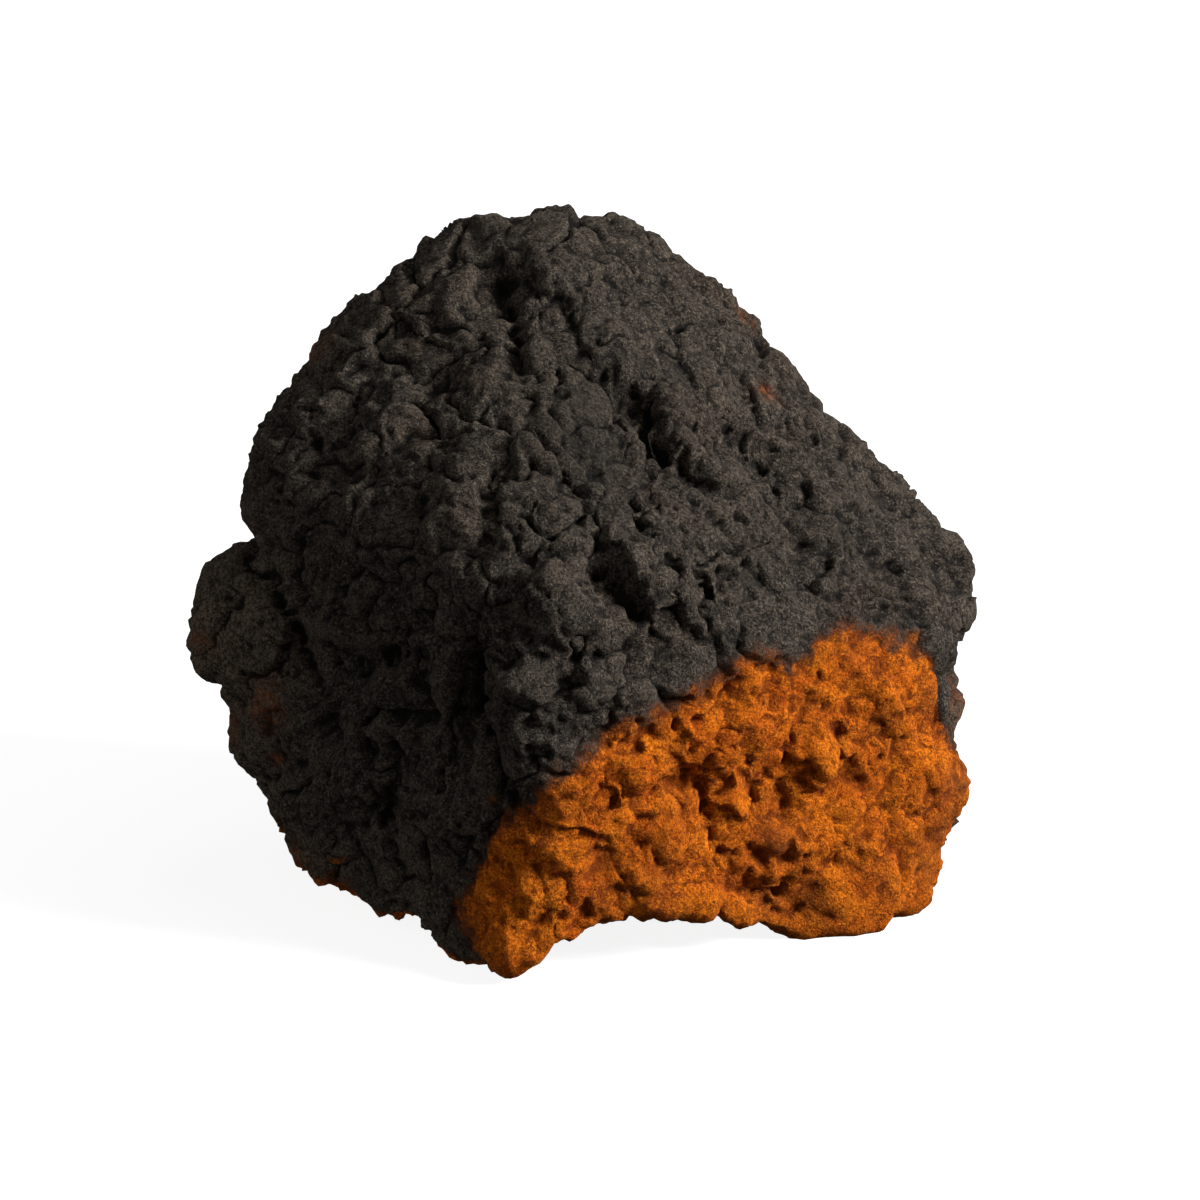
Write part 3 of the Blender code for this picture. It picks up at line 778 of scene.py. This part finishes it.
def face_relief(surface, tree):
    """What is finer than the blocks, on the broken face."""
    places = finely_bent(on_body(surface.points))
    height, edge, number = FACE_BLOCKS.read(places)
    height += FACE_CHIPS.read(places)[0] - crack(edge, number, closed=0.92, half_width=0.45, depth=0.6)
    height += layered(folds, places, FACE_FOLDS, SEED + 7)
    height += layered(ripple, places, FACE_RIPPLES, SEED + 9)
    height -= depth_of_cracks(surface, tree, FACE_CRACKS)
    height -= FACE_HOLLOW_SHARE * depth_of_spots(surface, tree, FACE_HOLLOWS)
    return height + LUMP_SHARE * depth_of_spots(surface, tree, FACE_LUMPS)


def above_soles(points):
    """The share of its height that the blocks' relief has: none on the soles, and all well above."""
    return smooth((points[:, 2] - SOLE_TOP) / SOLE_FADE)


def moved_out(surface, heights):
    """The points moved along the normals as far as they would be away from the conk's middle."""
    outward = unit(surface.points - MIDDLE)
    normals = smooth_normals(surface, rounds=4)
    along_normal = heights * np.maximum(np.sum(outward * normals, axis=1), 0)
    return surface.points + normals * along_normal[:, None]


def smooth_normals(surface, rounds):
    return unit(surface.smoothed(surface.normals(), rounds))


def make_conk(node):
    """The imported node's form, with its soft blocks taken off and sharper ones and finer relief put on."""
    base = make_base(node)
    tree = base.tree()
    inside = share_inside(into_face(base.points))
    heights = node_blocks(on_body(base.points), inside) * above_soles(base.points)
    base.put(moved_out(base, -heights))
    base.put(base.evened(base.points, rounds=12, width=3))
    surface = Surface(halved(base.mesh))
    places = on_body(surface.points)
    inside = share_inside(into_face(surface.points))
    heights = crust_blocks(places) * (1 - inside) + FACE_SHARE * node_blocks(places, inside) * inside
    heights += sharper_steps(places)
    surface.put(moved_out(surface, heights * above_soles(surface.points)))
    normals = smooth_normals(surface, rounds=6)
    inside = np.maximum(into_face(surface.points), into_underside(surface, normals))
    share = share_inside(inside)
    height = np.zeros(len(share))
    crust = Part(surface, share < 1)
    height[crust.chosen] += crust_relief(crust, tree) * (1 - share[crust.chosen])
    face = Part(surface, share > 0)
    height[face.chosen] += face_relief(face, tree) * share[face.chosen]
    surface.put(set_down(surface.points + normals * height[:, None]))
    add_guide(surface.mesh, "inside", inside)
    for name, listed in GUIDES.items():
        add_guide(surface.mesh, name, spots(surface.points, tree, listed))
    mesh = thinned(surface.mesh)
    surface = Surface(mesh)
    surface.points[:, 2] = np.maximum(surface.points[:, 2], 0)
    surface.put(surface.points)
    add_standing_out(surface)
    surface.put(surface.points * MM)
    mesh.shade_smooth()
    return new_object("chaga_conk", mesh)


class Part:
    """The chosen points of a surface."""

    def __init__(self, surface, chosen):
        self.chosen = chosen
        self.points = surface.points[chosen]


def set_down(points):
    """The points with the lowest ones pressed onto the floor, as small flat soles."""
    low = points[:, 2] < SOLE_TOP
    points[low, 2] = np.maximum(2 * points[low, 2] - SOLE_TOP, 0)
    return points


def spots(points, tree, listed):
    """How much of what is listed lies at each point."""
    share = np.zeros(len(points))
    for radius, amount, pixel in listed:
        place = seen_at(tree, [pixel])[0]
        gap = np.linalg.norm(points - place, axis=1)
        share = np.maximum(share, amount * np.exp(-((gap / radius) ** 2)))
    return share


def add_guide(mesh, name, values):
    """Values that the material reads, one at each point."""
    mesh.attributes.new(name, "FLOAT", "POINT").data.foreach_set("value", values)


def add_standing_out(surface):
    """How far each point stands out from those round it."""
    normals = surface.normals()
    for name, rounds in STANDING_OUT:
        proud = np.sum((surface.points - surface.smoothed(surface.points, rounds)) * normals, axis=1)
        add_guide(surface.mesh, name, proud)


# The material


class Nodes:
    """Shorthand for wiring a material."""

    def __init__(self, material):
        material.use_nodes = True
        self.tree = material.node_tree
        self.shader = self.tree.nodes["Principled BSDF"]
        self.coordinates = self.tree.nodes.new("ShaderNodeTexCoord").outputs["Object"]

    def join(self, source, socket):
        """Links a source to a socket, or sets the socket where the source is a plain value."""
        if hasattr(source, "links"):
            self.tree.links.new(source, socket)
        else:
            socket.default_value = source

    def guide(self, name):
        node = self.tree.nodes.new("ShaderNodeAttribute")
        node.attribute_name = name
        return node.outputs["Fac"]

    def noise(self, size, detail, roughness=0.55, distortion=0.0):
        """Noise whose features are about so many millimetres long."""
        node = self.tree.nodes.new("ShaderNodeTexNoise")
        node.inputs["Scale"].default_value = 1 / (size * MM)
        node.inputs["Detail"].default_value = detail
        node.inputs["Roughness"].default_value = roughness
        node.inputs["Distortion"].default_value = distortion
        self.tree.links.new(self.coordinates, node.inputs["Vector"])
        return node.outputs["Fac"]

    def math(self, operation, a, b=0.0):
        node = self.tree.nodes.new("ShaderNodeMath")
        node.operation = operation
        self.join(a, node.inputs[0])
        self.join(b, node.inputs[1])
        return node.outputs[0]

    def times(self, a, b):
        return self.math("MULTIPLY", a, b)

    def span(self, value, low, high, to_low=0.0, to_high=1.0, smooth_ends=False):
        """The value's stretch from low to high, mapped to another one and held at its ends."""
        node = self.tree.nodes.new("ShaderNodeMapRange")
        node.interpolation_type = "SMOOTHSTEP" if smooth_ends else "LINEAR"
        self.join(value, node.inputs["Value"])
        for socket, number in zip(node.inputs[1:5], (low, high, to_low, to_high)):
            socket.default_value = number
        return node.outputs["Result"]

    def mix(self, share, a, b, kind="RGBA"):
        """From a where the share is 0 to b where it is 1; RGBA is colours, and FLOAT is numbers."""
        node = self.tree.nodes.new("ShaderNodeMix")
        node.data_type = kind
        self.join(share, node.inputs["Factor"])
        self.join(a, node.inputs["A"])
        self.join(b, node.inputs["B"])
        return node.outputs["Result"]

    def bump(self, height, distance):
        node = self.tree.nodes.new("ShaderNodeBump")
        node.inputs["Strength"].default_value = 1.0
        node.inputs["Distance"].default_value = distance * MM
        self.join(height, node.inputs["Height"])
        return node.outputs["Normal"]


CRUST_DARK = (0.004, 0.0034, 0.0028, 1)
CRUST_MID = (0.027, 0.0215, 0.0165, 1)
CRUST_PALE = (0.093, 0.073, 0.054, 1)
# the paler brown of the listed patches, in part painted light
LIGHTENED_TONE = (0.155, 0.112, 0.078, 1)
CRUST_GLINT = (0.175, 0.14, 0.105, 1)
CRUST_BROWN = (0.050, 0.026, 0.014, 1)
RUST = (0.30, 0.070, 0.010, 1)
BURNT = (0.070, 0.021, 0.006, 1)
FACE_DEEP = (0.11, 0.018, 0.001, 1)
FACE_MID = (0.46, 0.085, 0.002, 1)
FACE_PALE = (0.68, 0.170, 0.005, 1)
# the colour of the broken face's painted glints
FACE_BRIGHT = (0.87, 0.27, 0.014, 1)
FACE_BROWN = (0.11, 0.030, 0.006, 1)

# What is laid over the colour in turn: a colour, its largest share, what says where, and the values of
# this where there is none of it and where there is most. It is a guide, the hairlines or noise: size,
# detail, roughness, distortion.
CRUST_LAYERS = (
    (CRUST_PALE, 0.45, (13, 3), 0.35, 0.70),
    (CRUST_BROWN, 0.60, (20, 3), 0.52, 0.75),
    (CRUST_PALE, 0.50, "fine", 0.02, 0.22),
    # painted light in part: the crust lightened and browned at the listed places
    (LIGHTENED_TONE, 0.85, "lightened", 0, 1),
    (CRUST_DARK, 0.85, (0.68, 3, 0.8), 0.42, 0.56),
    (CRUST_GLINT, 0.60, (0.6, 3, 0.8), 0.53, 0.66),
    # painted shade: the crust darkened at the listed places
    (CRUST_DARK, 0.42, "painted_shade", 0, 1),
    # painted shade: the crust darker in broad hollows
    (CRUST_DARK, 0.75, "broad", -0.3, -2.4),
    (CRUST_DARK, 0.75, "hairlines", 0, 1),
    # painted shade: the crust darker where points sink below those round them, in creases and cracks
    (CRUST_DARK, 0.90, "fine", -0.05, -0.38),
)
FACE_LAYERS = (
    (FACE_PALE, 1.00, (8, 4), 0.35, 0.68),
    (FACE_BROWN, 0.60, (11, 5, 0.65), 0.50, 0.72),
    (FACE_DEEP, 0.70, (1.6, 5, 0.75, 2.0), 0.45, 0.64),
    (FACE_DEEP, 0.80, (0.62, 3, 0.8), 0.45, 0.60),
    # painted glints: bright orange speckles
    (FACE_BRIGHT, 0.60, (0.6, 3, 0.8, 0.5), 0.54, 0.68),
    (FACE_DEEP, 0.70, "hairlines", 0, 1),
    # painted shade: the face darker where points sink below those round them
    (FACE_DEEP, 0.70, "fine", -0.04, -0.30),
    # painted shade: the face darker in broad hollows
    (FACE_DEEP, 0.60, "broad", -0.2, -2.2),
)

# What breaks up the dust and the browned places: noise, and its values where there is none and most
DUST_GRAIN = ((1.8, 5, 0.7), 0.40, 0.62)
BROWN_GRAIN = ((2.5, 5, 0.7), 0.32, 0.52)
MOST_BROWN = 0.85

# Hairline cracks
CRUST_LINES = 3.6  # about how long they are
FACE_LINES = 3.0
LINE_WIDTH = 0.035  # in the noise's values
LINE_PATCHES = (0.44, 0.58)  # noise where there are none and where there are all

# The broken face's edge: what frays it and how far, and the bands in which the crust turns burnt and
# the burnt band orange, from outside in
FRAY_NOISE = (1.5, 6, 0.8, 2.0)
FRAY_FROM = (0.25, 0.75)
FRAY = 3.4
BURNT_BAND = (-3.6, 0.6)
MOST_BURNT = 0.85
FACE_BAND = (-0.8, 3.2)

# The grain: fine noise, coarser noise and its height, then the hairlines' depth, and how many millimetres
# a height of 1 is
CRUST_GRAIN = ((0.7, 3, 0.8), (2.4, 5, 0.8), 1.8)
FACE_GRAIN = ((0.9, 4, 0.75, 1.0), (2.6, 5, 0.7), 2.0)
LINE_DEPTH = 0.6
GRAIN_HEIGHT = 0.62
CRUST_ROUGHNESS = 0.75
FACE_ROUGHNESS = 0.95
SHINE = 0.10


def hairline_cracks(nodes, size):
    """Short winding lines: 1 along them, and 0 beside them."""
    winding = nodes.noise(size, detail=4, roughness=0.65, distortion=0.6)
    off_line = nodes.math("ABSOLUTE", nodes.math("SUBTRACT", winding, 0.5))
    lines = nodes.span(off_line, 0.0, LINE_WIDTH, 1.0, 0.0)
    return nodes.times(lines, nodes.span(nodes.noise(2 * size, detail=3), *LINE_PATCHES))


def laid_over(nodes, colour, layers, hairlines):
    """The colour with the layers over it."""
    for upper, most, where, none_at, most_at in layers:
        if where == "hairlines":
            value = hairlines
        elif isinstance(where, str):
            value = nodes.guide(where)
        else:
            value = nodes.noise(*where)
        colour = nodes.mix(nodes.span(value, none_at, most_at, 0.0, most), colour, upper)
    return colour


def broken_up(nodes, guide, noise, none_at, most_at):
    """A guide's share, broken up by noise."""
    return nodes.times(nodes.guide(guide), nodes.span(nodes.noise(*noise), none_at, most_at))


def rough_height(nodes, fine, coarse, coarse_height, hairlines):
    """How high the grain is, from two noises and the hairline cracks."""
    height = nodes.math("ADD", nodes.noise(*fine), nodes.times(nodes.noise(*coarse), coarse_height))
    return nodes.math("SUBTRACT", height, nodes.times(hairlines, LINE_DEPTH))


def conk_material():
    """The crust, the broken face and the burnt band between them, as one material."""
    material = bpy.data.materials.new("chaga")
    nodes = Nodes(material)
    fray = nodes.span(nodes.noise(*FRAY_NOISE), *FRAY_FROM, -FRAY, FRAY)
    edge = nodes.math("ADD", nodes.guide("inside"), fray)
    burnt = nodes.span(edge, *BURNT_BAND, smooth_ends=True)
    inside = nodes.span(edge, *FACE_BAND, smooth_ends=True)
    crust_lines = hairline_cracks(nodes, CRUST_LINES)
    face_lines = hairline_cracks(nodes, FACE_LINES)
    crust = laid_over(nodes, CRUST_MID, CRUST_LAYERS, crust_lines)
    crust = nodes.mix(broken_up(nodes, "dust", *DUST_GRAIN), crust, RUST)
    crust = nodes.mix(nodes.times(burnt, MOST_BURNT), crust, BURNT)
    face = laid_over(nodes, FACE_MID, FACE_LAYERS, face_lines)
    browned = nodes.times(broken_up(nodes, "browned", *BROWN_GRAIN), MOST_BROWN)
    face = nodes.mix(browned, face, FACE_BROWN)
    crust_height = rough_height(nodes, *CRUST_GRAIN, crust_lines)
    face_height = rough_height(nodes, *FACE_GRAIN, face_lines)
    height = nodes.mix(inside, crust_height, face_height, "FLOAT")
    roughness = nodes.mix(inside, CRUST_ROUGHNESS, FACE_ROUGHNESS, "FLOAT")
    nodes.join(nodes.mix(inside, crust, face), nodes.shader.inputs["Base Color"])
    nodes.join(roughness, nodes.shader.inputs["Roughness"])
    nodes.join(nodes.bump(height, GRAIN_HEIGHT), nodes.shader.inputs["Normal"])
    nodes.join(SHINE, nodes.shader.inputs["Specular IOR Level"])
    return material


# What the conk stands on, the light and the camera

FLOOR_WIDTH = 30  # metres
FLOOR_LOOK = {
    "Base Color": (0.3, 0.3, 0.3, 1),
    "Roughness": 1,
    "Specular IOR Level": 0,
    "Emission Color": (1, 1, 1, 1),
    "Emission Strength": 0.88,
}

# Each light: where it is from the conk, how far and how wide in metres, and its watts
LIGHTS = {
    "key": ((0.94, -0.22, 0.50), 1.5, 0.5, 54),
    "top": ((0.4, 0.15, 1.0), 1.6, 1.2, 6),
    "side fill": ((-1.0, -0.30, 0.35), 2.0, 1.4, 10),
    "front fill": ((0.0, -1.0, 0.10), 2.0, 1.4, 6),
}
WORLD_LIGHT = 0.07
SENSOR = 36.0


def make_floor():
    bpy.ops.mesh.primitive_plane_add(size=FLOOR_WIDTH)
    floor = bpy.context.object
    floor.name = "floor"
    material = bpy.data.materials.new("floor")
    material.use_nodes = True
    for name, value in FLOOR_LOOK.items():
        material.node_tree.nodes["Principled BSDF"].inputs[name].default_value = value
    floor.data.materials.append(material)
    floor.visible_diffuse = False
    floor.visible_glossy = False


def turn_towards(thing, direction):
    """Turns a light or camera so that it looks against the direction in which it stands."""
    thing.rotation_mode = "QUATERNION"
    thing.rotation_quaternion = direction.to_track_quat("Z", "Y")


def make_lights():
    for name, (direction, distance, width, power) in LIGHTS.items():
        light = new_object(name, bpy.data.lights.new(name, "AREA"))
        light.data.energy = power
        light.data.size = width
        direction = Vector(direction).normalized()
        light.location = Vector(MIDDLE * MM) + direction * distance
        turn_towards(light, direction)
    world = bpy.data.worlds.new("studio")
    bpy.context.scene.world = world
    world.use_nodes = True
    world.node_tree.nodes["Background"].inputs["Color"].default_value = (1, 1, 1, 1)
    world.node_tree.nodes["Background"].inputs["Strength"].default_value = WORLD_LIGHT
    bpy.context.scene.view_settings.view_transform = "Standard"


def make_camera():
    camera = new_object("camera", bpy.data.cameras.new("camera"))
    camera.data.sensor_width = SENSOR
    camera.data.lens = SENSOR * SIGHT / (PICTURE * MM_PER_PIXEL)
    camera.location = Vector(CAMERA * MM)
    turn_towards(camera, Vector(NEAR))
    bpy.context.scene.camera = camera


main()
